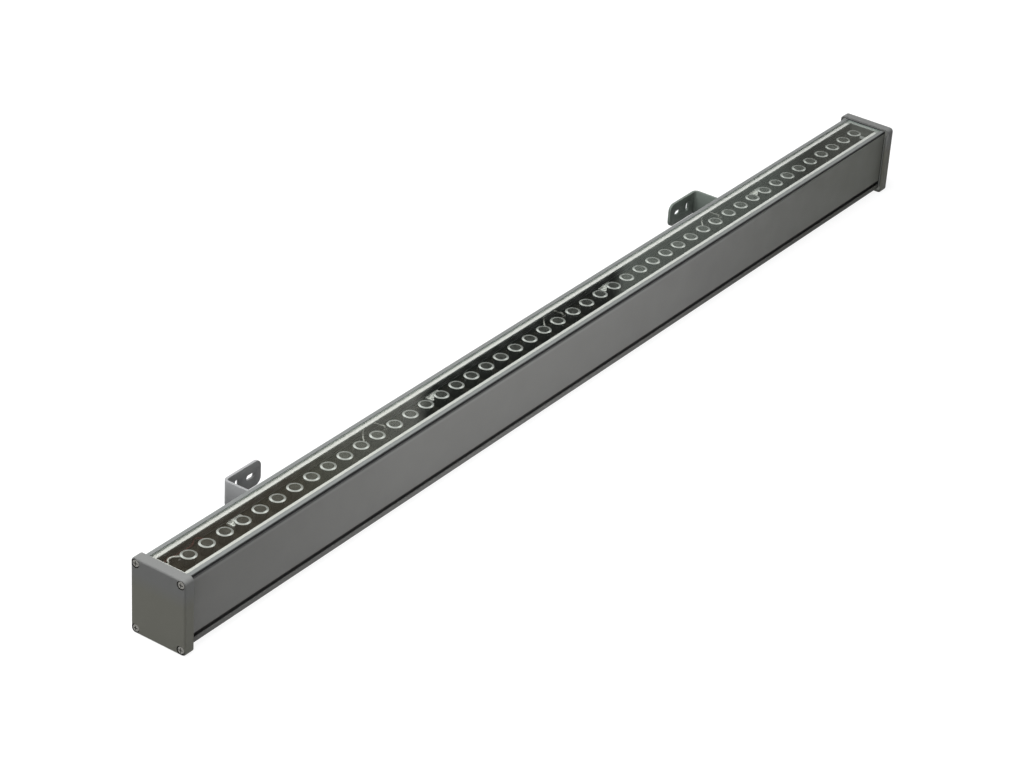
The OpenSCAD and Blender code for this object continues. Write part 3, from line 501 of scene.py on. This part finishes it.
# The same for the nodes that each end and each board has
END_COATS = (
    ("end_plate", plate_metal, 0.2),
    ("end_gasket", gasket, 0.1),
    ("plate_screws", steel, 0.12),
    ("cap_screws", head_steel, 0.15),
)
BOARD_COATS = (
    ("led_board", board, 0.12),
    ("lens_holders", black, 0.15),
    ("leds", led_yellow, 0.1),
)

for name, mat, width in COATS:
    soften(name, mat, width)

for end, _ in ENDS:
    for name, mat, width in END_COATS:
        soften(f"{name}_{end}", mat, width)
    soften_cap(f"end_cap_{end}")

for i in BOARDS:
    for name, mat, width in BOARD_COATS:
        soften(f"{name}_{i}", mat, width)

soften_wire("link_wires", wire_skin)
soften_wire("feed_wires", wire_skin)
soften_wire("supply_leads", lead_skin)

coat("glass_cover", cover, smooth=False)


# Faces with a second material

def mark(name, mat, wanted):
    """Gives a second material to the faces of a node for which wanted(face) is true."""
    mesh = nodes[name].data
    mesh.materials.append(mat)
    for face in mesh.polygons:
        if wanted(face):
            face.material_index = 1


def mark_lip(name):
    """Paints shade on a rail's outermost upright faces."""
    outermost = max(abs(v.co.y) for v in nodes[name].data.vertices)
    lip = outermost - 0.3 * MM
    mark(name, rail_lip_painted_shade, lambda face: abs(face.normal.y) > 0.5 and abs(face.center.y) > lip)


def mark_round_screws(name, way, screws, radius, deepest):
    """Paints shade on the faces that lie a little behind a node's outer face and near a screw's axis."""
    skin = 0.05 * MM
    lo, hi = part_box(name)
    outer = lo.x if way < 0 else hi.x

    def wanted(face):
        near = min(math.hypot(face.center.y - y, face.center.z - z) for _, y, z in screws)
        return near < radius and skin < (outer - face.center.x) * way < deepest

    mark(name, painted_recess_shade, wanted)


mark_lip("trim_rail_front")
mark_lip("trim_rail_back")

# Painted shade in the cross recesses of the cap screws' heads, and in the counterbores that the heads stand
# in
for end, way in ENDS:
    screws = [middle(lo, hi) for lo, hi in solids(f"cap_screws_{end}")]
    mark_round_screws(f"cap_screws_{end}", way, screws, radius=2.7 * MM, deepest=2 * MM)
    mark_round_screws(f"end_cap_{end}", way, screws, radius=5.0 * MM, deepest=4 * MM)

# The glass is clear on its faces and dull on its ground edges
mark("glass_cover", glass_edge, lambda face: abs(face.normal.z) <= 0.5)

# The pale feed wire stays beside the first lens; the dark one runs on past it and lies further back
PALE_PAST_LED = 10 * MM
PALE_REACH_BACK = 14.9 * MM
pale_end = min(lo.x for lo, hi in solids("leds_1")) + PALE_PAST_LED
mark("feed_wires", red_skin, lambda face: face.center.x > pale_end or face.center.y > PALE_REACH_BACK)


# New pieces

def new_object(name, data):
    """An object in the scene."""
    o = bpy.data.objects.new(name, data)
    bpy.context.scene.collection.objects.link(o)
    return o


def to_mesh(name, bm, mats):
    """Ends a bmesh and gives its mesh materials."""
    mesh = bpy.data.meshes.new(name)
    bm.normal_update()
    bm.to_mesh(mesh)
    bm.free()
    for mat in mats:
        mesh.materials.append(mat)
    return mesh


def piece(name, bm, mats, angle=35):
    """A piece of the lamp, smooth except at edges sharper than an angle."""
    mesh = to_mesh(name, bm, mats)
    for face in mesh.polygons:
        face.use_smooth = True
    mesh.set_sharp_from_angle(angle=math.radians(angle))
    o = new_object(name, mesh)
    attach(o, "lamp")
    return o


def ring(bm, centre, rx, ry, height, steps):
    """Corners on an ellipse at a height over a centre, or the one corner where it has no radius."""
    x, y, z = centre
    if rx == 0:
        return [bm.verts.new((x, y, z + height))]
    turns = [2 * math.pi * k / steps for k in range(steps)]
    return [bm.verts.new((x + rx * math.cos(t), y + ry * math.sin(t), z + height)) for t in turns]


def band(bm, lower, upper, mat=0):
    """Faces from a ring to the next ring, or to a single corner."""
    for k, corner in enumerate(lower):
        after = (k + 1) % len(lower)
        top = upper if len(upper) == 1 else [upper[after], upper[k]]
        face = bm.faces.new([corner, lower[after]] + top)
        face.material_index = mat


# Lenses: a rim with painted highlights round a dark glassy face with pressed rings, and the cone under it
LENS_STEPS = 40
# Places in a lens's list of materials
RIM = 0
FACE = 1
# Painted highlights on a rim: degrees round it, width in degrees and strength, over a faint painted
# highlight all round
HIGHLIGHT_SPOTS = ((154, 30, 0.9), (268, 26, 0.9), (212, 30, 0.35), (50, 25, 0.12))
GLOW = 0.12


def shine(angle):
    """How strong the painted highlight on a lens rim is at an angle round it."""
    light = GLOW
    for at, width, strength in HIGHLIGHT_SPOTS:
        off = (math.degrees(angle) - at + 180) % 360 - 180
        light += strength * math.exp(-(off / width) ** 2)
    return min(1.0, light)


def lens_profile(r, foot):
    """Radius, height over the top and material of the next band, from the cone's foot to the middle."""
    cone = [(2.9 * MM, foot), (5.75 * MM, -1.32 * MM)]
    side = [(r - 0.2 * MM, -1.3 * MM), (r, -1.1 * MM), (r, -0.5 * MM)]
    rim = [(r - 0.08 * MM, -0.32 * MM), (r - 0.25 * MM, -0.22 * MM),
           (r - 1.1 * MM, -0.2 * MM), (r - 2.1 * MM, -0.2 * MM)]
    face = [(r - 2.4 * MM, 0), (5.0 * MM, -0.04 * MM), (4.1 * MM, -0.16 * MM), (3.4 * MM, -0.02 * MM),
            (2.4 * MM, -0.16 * MM), (1.2 * MM, -0.05 * MM), (0, -0.12 * MM)]
    groups = ((cone, FACE), (side, FACE), (rim, RIM), (face, FACE))
    return [(radius, height, mat) for points, mat in groups for radius, height in points]


def lens(bm, layer, lo, hi):
    """One lens in the place of the plain one."""
    x, y, _ = middle(lo, hi)
    profile = lens_profile((hi.x - lo.x) / 2, lo.z - hi.z)
    rings = [ring(bm, (x, y, hi.z), radius, radius, height, LENS_STEPS) for radius, height, _ in profile]
    for lower, upper, (_, _, mat) in zip(rings, rings[1:], profile):
        band(bm, lower, upper, mat)
    for corners in rings:
        for v in corners:
            v[layer] = shine(math.atan2(v.co.y - y, v.co.x - x))


for i in BOARDS:
    bm = bmesh.new()
    layer = bm.verts.layers.float.new("shine")
    for lo, hi in solids(f"lenses_{i}"):
        lens(bm, layer, lo, hi)
    o = piece(f"lens_faces_{i}", bm, [lens_rim, lens_face], angle=50)
    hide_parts(f"lenses_{i}")


# Board connectors: a low block with a raised one on it, and at one end two wire doors over their inlets
CHAMFER = 0.25 * MM
DOOR_CHAMFER = 0.1 * MM
# Places in a connector's list of materials
WHITE = 0
DOOR = 1
# Where the doors stand, in shares of the connector's width
DOOR_PLACES = (0.28, 0.72)


def block(bm, lo, hi, chamfer=0.0, mat=0):
    """A box between two corners."""
    corners = [bm.verts.new(corner) for corner in itertools.product(*zip(lo, hi))]
    sides = ((0, 1, 3, 2), (4, 6, 7, 5), (0, 4, 5, 1), (2, 3, 7, 6), (0, 2, 6, 4), (1, 5, 7, 3))
    faces = [bm.faces.new([corners[k] for k in side]) for side in sides]
    for face in faces:
        face.material_index = mat
    if chamfer:
        edges = list(dict.fromkeys(edge for face in faces for edge in face.edges))
        cut = bmesh.ops.bevel(bm, geom=edges, offset=chamfer, segments=2, profile=0.5, affect="EDGES")
        for face in cut["faces"]:
            face.material_index = mat


def connector(bm, lo, hi):
    """One connector in the place of the plain block. The inlets stand out by a hair."""
    def level(share):
        return lo.z + (hi.z - lo.z) * share

    shelf = level(0.72)
    in_shelf = level(0.7)
    side_step = 0.6 * MM
    door_half = 1.1 * MM
    inlet_half = 0.5 * MM
    hair = 0.01 * MM
    block(bm, lo, (hi.x, hi.y, shelf), CHAMFER, WHITE)
    raised_lo = (lo.x + 5 * MM, lo.y + side_step, in_shelf)
    raised_hi = (hi.x - 1 * MM, hi.y - side_step, hi.z)
    block(bm, raised_lo, raised_hi, CHAMFER, WHITE)
    for share in DOOR_PLACES:
        y = lo.y + (hi.y - lo.y) * share
        door_lo = (lo.x + 1.2 * MM, y - door_half, in_shelf)
        door_hi = (lo.x + 4 * MM, y + door_half, level(0.8))
        block(bm, door_lo, door_hi, DOOR_CHAMFER, DOOR)
        # The inlets are flat patches in the doors' grey: painted shade for the wire openings
        inlet_lo = (lo.x + 0.2 * MM, y - inlet_half, level(0.3))
        inlet_hi = (lo.x - hair, y + inlet_half, level(0.6))
        block(bm, inlet_lo, inlet_hi, mat=DOOR)


bm = bmesh.new()
for lo, hi in solids("board_connectors"):
    connector(bm, lo, hi)
o = piece("connector_blocks", bm, [white, door])
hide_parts("board_connectors")


# Flat spots on each board: two under the mask beside every light point, and four of bare solder
PAD_STEPS = 20
# Half lengths along and across the board, and the height
MASKED_SPOT = (1.1 * MM, 0.8 * MM, 0.25 * MM)
SOLDER_SPOT = (1.5 * MM, 1.2 * MM, 0.5 * MM)
MASKED_AFTER_LED = 4.3 * MM
MASKED_ASIDE = 13.9 * MM
SOLDER_ASIDE = 11.6 * MM
# Places of the solder spots, from the first and from the last light point
SOLDER_AFTER_FIRST = (3.9 * MM, 0.6 * MM)
SOLDER_BEFORE_LAST = (4.6 * MM, 2.2 * MM)


def pad(bm, x, y, z, spot):
    """A low mound with a flat foot."""
    rx, ry, height = spot
    foot = ring(bm, (x, y, z), rx, ry, 0, PAD_STEPS)
    shoulder = ring(bm, (x, y, z), 0.75 * rx, 0.75 * ry, 0.7 * height, PAD_STEPS)
    top = ring(bm, (x, y, z), 0, 0, height, PAD_STEPS)
    band(bm, foot, shoulder)
    band(bm, shoulder, top)
    bm.faces.new(foot[::-1])


for i in BOARDS:
    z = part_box(f"led_board_{i}")[1].z
    leds = [middle(lo, hi)[0] for lo, hi in solids(f"leds_{i}")]
    bm = bmesh.new()
    for x in leds:
        for y in (-MASKED_ASIDE, MASKED_ASIDE):
            pad(bm, x + MASKED_AFTER_LED, y, z, MASKED_SPOT)
    piece(f"masked_pads_{i}", bm, [pad_mask])
    bm = bmesh.new()
    near_spots = [leds[0] + step for step in SOLDER_AFTER_FIRST]
    far_spots = [leds[-1] - step for step in SOLDER_BEFORE_LAST]
    for x in near_spots + far_spots:
        pad(bm, x, SOLDER_ASIDE, z, SOLDER_SPOT)
    piece(f"solder_pads_{i}", bm, [solder])


# Camera fitted to the photograph: its place, its turn as a rotation vector in radians, and its lens
CAMERA_PLACE = (-2.34009, -1.52457, 1.61903)
CAMERA_TURN = (1.9428029480388291, -0.9492969080285036, 0.6179747301323603)
SENSOR_MM = 36
FOCAL_MM = 108.007

cam = bpy.data.cameras.new("camera")
cam.sensor_width = SENSOR_MM
cam.sensor_fit = "HORIZONTAL"
cam.lens = FOCAL_MM
cam.clip_start = 0.01
cam.clip_end = 100
cam_obj = new_object("camera", cam)
turn_angle = math.sqrt(sum(c * c for c in CAMERA_TURN))
right, down, ahead = Matrix.Rotation(turn_angle, 3, Vector(CAMERA_TURN))
turned = Matrix((right, -down, -ahead)).transposed().to_4x4()
cam_obj.matrix_world = Matrix.Translation(CAMERA_PLACE) @ turned
bpy.context.scene.camera = cam_obj


# Floor: it shows white to the camera and in glass and metal, and otherwise acts as a plain grey floor
FLOOR_REACH = 30
FLOOR_GAP = 0.2 * MM
FLOOR_GREY = (0.2, 0.2, 0.2, 1)
# The white grows from the first strength to the second between these distances from the middle
FLOOR_GLOW = (0.9, 1.0)
FLOOR_GLOW_FROM = 1.2
FLOOR_GLOW_TO = 3.5


def seen_straight(tree):
    """1 for camera, glossy and transmission rays that no diffuse surface has scattered, else 0."""
    path = add(tree, "LightPath").outputs
    straight = calc(tree, "MAXIMUM", path["Is Camera Ray"], path["Is Transmission Ray"])
    straight = calc(tree, "MAXIMUM", straight, path["Is Glossy Ray"])
    unscattered = calc(tree, "LESS_THAN", path["Diffuse Depth"], 0.5)
    return calc(tree, "MULTIPLY", straight, unscattered)


def floor_mat():
    """Grey for the light, with a white glow that only straight rays see."""
    mat = bpy.data.materials.new("floor")
    tree = empty_tree(mat)
    away = add(tree, "VectorMath", add(tree, "TexCoord").outputs["Object"])
    away.operation = "LENGTH"
    level = ramp(tree, away.outputs["Value"], FLOOR_GLOW_FROM, FLOOR_GLOW_TO, *FLOOR_GLOW)
    glow = add(tree, "Emission", Strength=calc(tree, "MULTIPLY", seen_straight(tree), level))
    grey = add(tree, "BsdfDiffuse", Color=FLOOR_GREY)
    both = add(tree, "AddShader", grey.outputs[0], glow.outputs[0])
    add(tree, "OutputMaterial", Surface=both.outputs[0])
    return mat


bm = bmesh.new()
bmesh.ops.create_grid(bm, x_segments=2, y_segments=2, size=FLOOR_REACH)
floor = new_object("floor", to_mesh("floor", bm, [floor_mat()]))
floor.location.z = cad_lo.z - FLOOR_GAP
floor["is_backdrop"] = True


# Lamps: name, place, the point that it shines at, width and height, and power
LAMPS = (
    ("top_softbox", (-0.8, 0.5, 2.6), (-0.65, 0, 0), (2.2, 1.8), 106),
    ("front_fill", (-0.12, -0.66, 0.36), (-0.12, 0, 0.035), (0.3, 0.2), 2.1),
    ("end_fill", (-3.0, -0.6, 1.1), (-0.6, 0, 0), (1.6, 1.4), 13.5),
    ("back_fill", (-0.2, 2.8, 0.45), (0, 0, 0.04), (1.8, 0.7), 15),
    ("right_fill", (3.2, 0.5, 0.45), (0.6, 0, 0.04), (1.2, 0.7), 10),
)


def area(name, at, to, size, power):
    """A lamp that no mirror, no glass and no camera sees."""
    light = bpy.data.lights.new(name, "AREA")
    light.shape = "RECTANGLE"
    light.size, light.size_y = size
    light.energy = power
    o = new_object(name, light)
    o.location = at
    o.rotation_mode = "QUATERNION"
    o.rotation_quaternion = (Vector(to) - Vector(at)).to_track_quat("-Z", "Y")
    o.visible_glossy = False
    o.visible_camera = False
    o.visible_transmission = False


for lamp in LAMPS:
    area(*lamp)


# A card that shows in reflections and through glass alone, so that the glass doesn't mirror a white room
CARD_TOWARD = (0.84, 0.54, 0)
CARD_AWAY = 3.0
CARD_HALF = 1.6
CARD_FOOT = 0.9
CARD_HEAD = 3.6
# Where its colours start and end, measured across it, and the colours: pale, dark in the middle, pale again
CARD_FROM = -0.8
CARD_TO = 1.2
CARD_COLORS = (
    (-0.6, (0.30, 0.31, 0.28)),
    (-0.52, (0.26, 0.27, 0.24)),
    (-0.46, (0.19, 0.20, 0.18)),
    (-0.40, (0.34, 0.38, 0.34)),
    (-0.15, (0.42, 0.47, 0.42)),
    (-0.105, (0.42, 0.47, 0.42)),
    (-0.085, (0.06, 0.065, 0.06)),
    (0.30, (0.06, 0.07, 0.06)),
    (0.33, (0.56, 0.58, 0.52)),
    (0.53, (0.38, 0.39, 0.31)),
    (0.60, (0.28, 0.26, 0.20)),
    (0.85, (0.25, 0.22, 0.17)),
)


def card_mat(across):
    """Emission that changes across the card."""
    mat = bpy.data.materials.new("card")
    tree = empty_tree(mat)
    along_card = add(tree, "VectorMath", add(tree, "TexCoord").outputs["Object"], across)
    along_card.operation = "DOT_PRODUCT"
    share = ramp(tree, along_card.outputs["Value"], CARD_FROM, CARD_TO)
    colors = add(tree, "ValToRGB", share)
    elements = colors.color_ramp.elements
    while len(elements) < len(CARD_COLORS):
        elements.new(0.5)
    for element, (at, _) in zip(elements, CARD_COLORS):
        element.position = (at - CARD_FROM) / (CARD_TO - CARD_FROM)
    for element, (_, color) in zip(elements, CARD_COLORS):
        element.color = color + (1,)
    glow = add(tree, "Emission", Color=colors.outputs["Color"])
    add(tree, "OutputMaterial", Surface=glow.outputs[0])
    return mat


toward = Vector(CARD_TOWARD).normalized() * CARD_AWAY
across = Vector((-CARD_TOWARD[1], CARD_TOWARD[0], 0)).normalized()
ends = (toward - across * CARD_HALF, toward + across * CARD_HALF)
bm = bmesh.new()
foot = [bm.verts.new((end.x, end.y, CARD_FOOT)) for end in ends]
head = [bm.verts.new((end.x, end.y, CARD_HEAD)) for end in reversed(ends)]
bm.faces.new(foot + head)
card = new_object("dark_card", to_mesh("dark_card", bm, [card_mat(across)]))
card.visible_camera = False
card.visible_diffuse = False
card.visible_shadow = False
card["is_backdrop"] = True


# World: a white room to look at that gives little light
ROOM_LIGHT = 0.09
ROOM_SEEN = 1.0

world = bpy.data.worlds.new("world")
bpy.context.scene.world = world
tree = empty_tree(world)
strength = ramp(tree, seen_straight(tree), 0.0, 1.0, ROOM_LIGHT, ROOM_SEEN)
room = add(tree, "Background", Color=(1, 1, 1, 1), Strength=strength)
add(tree, "OutputWorld", Surface=room.outputs[0])

bpy.context.scene.view_settings.view_transform = "Standard"

lo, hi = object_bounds()
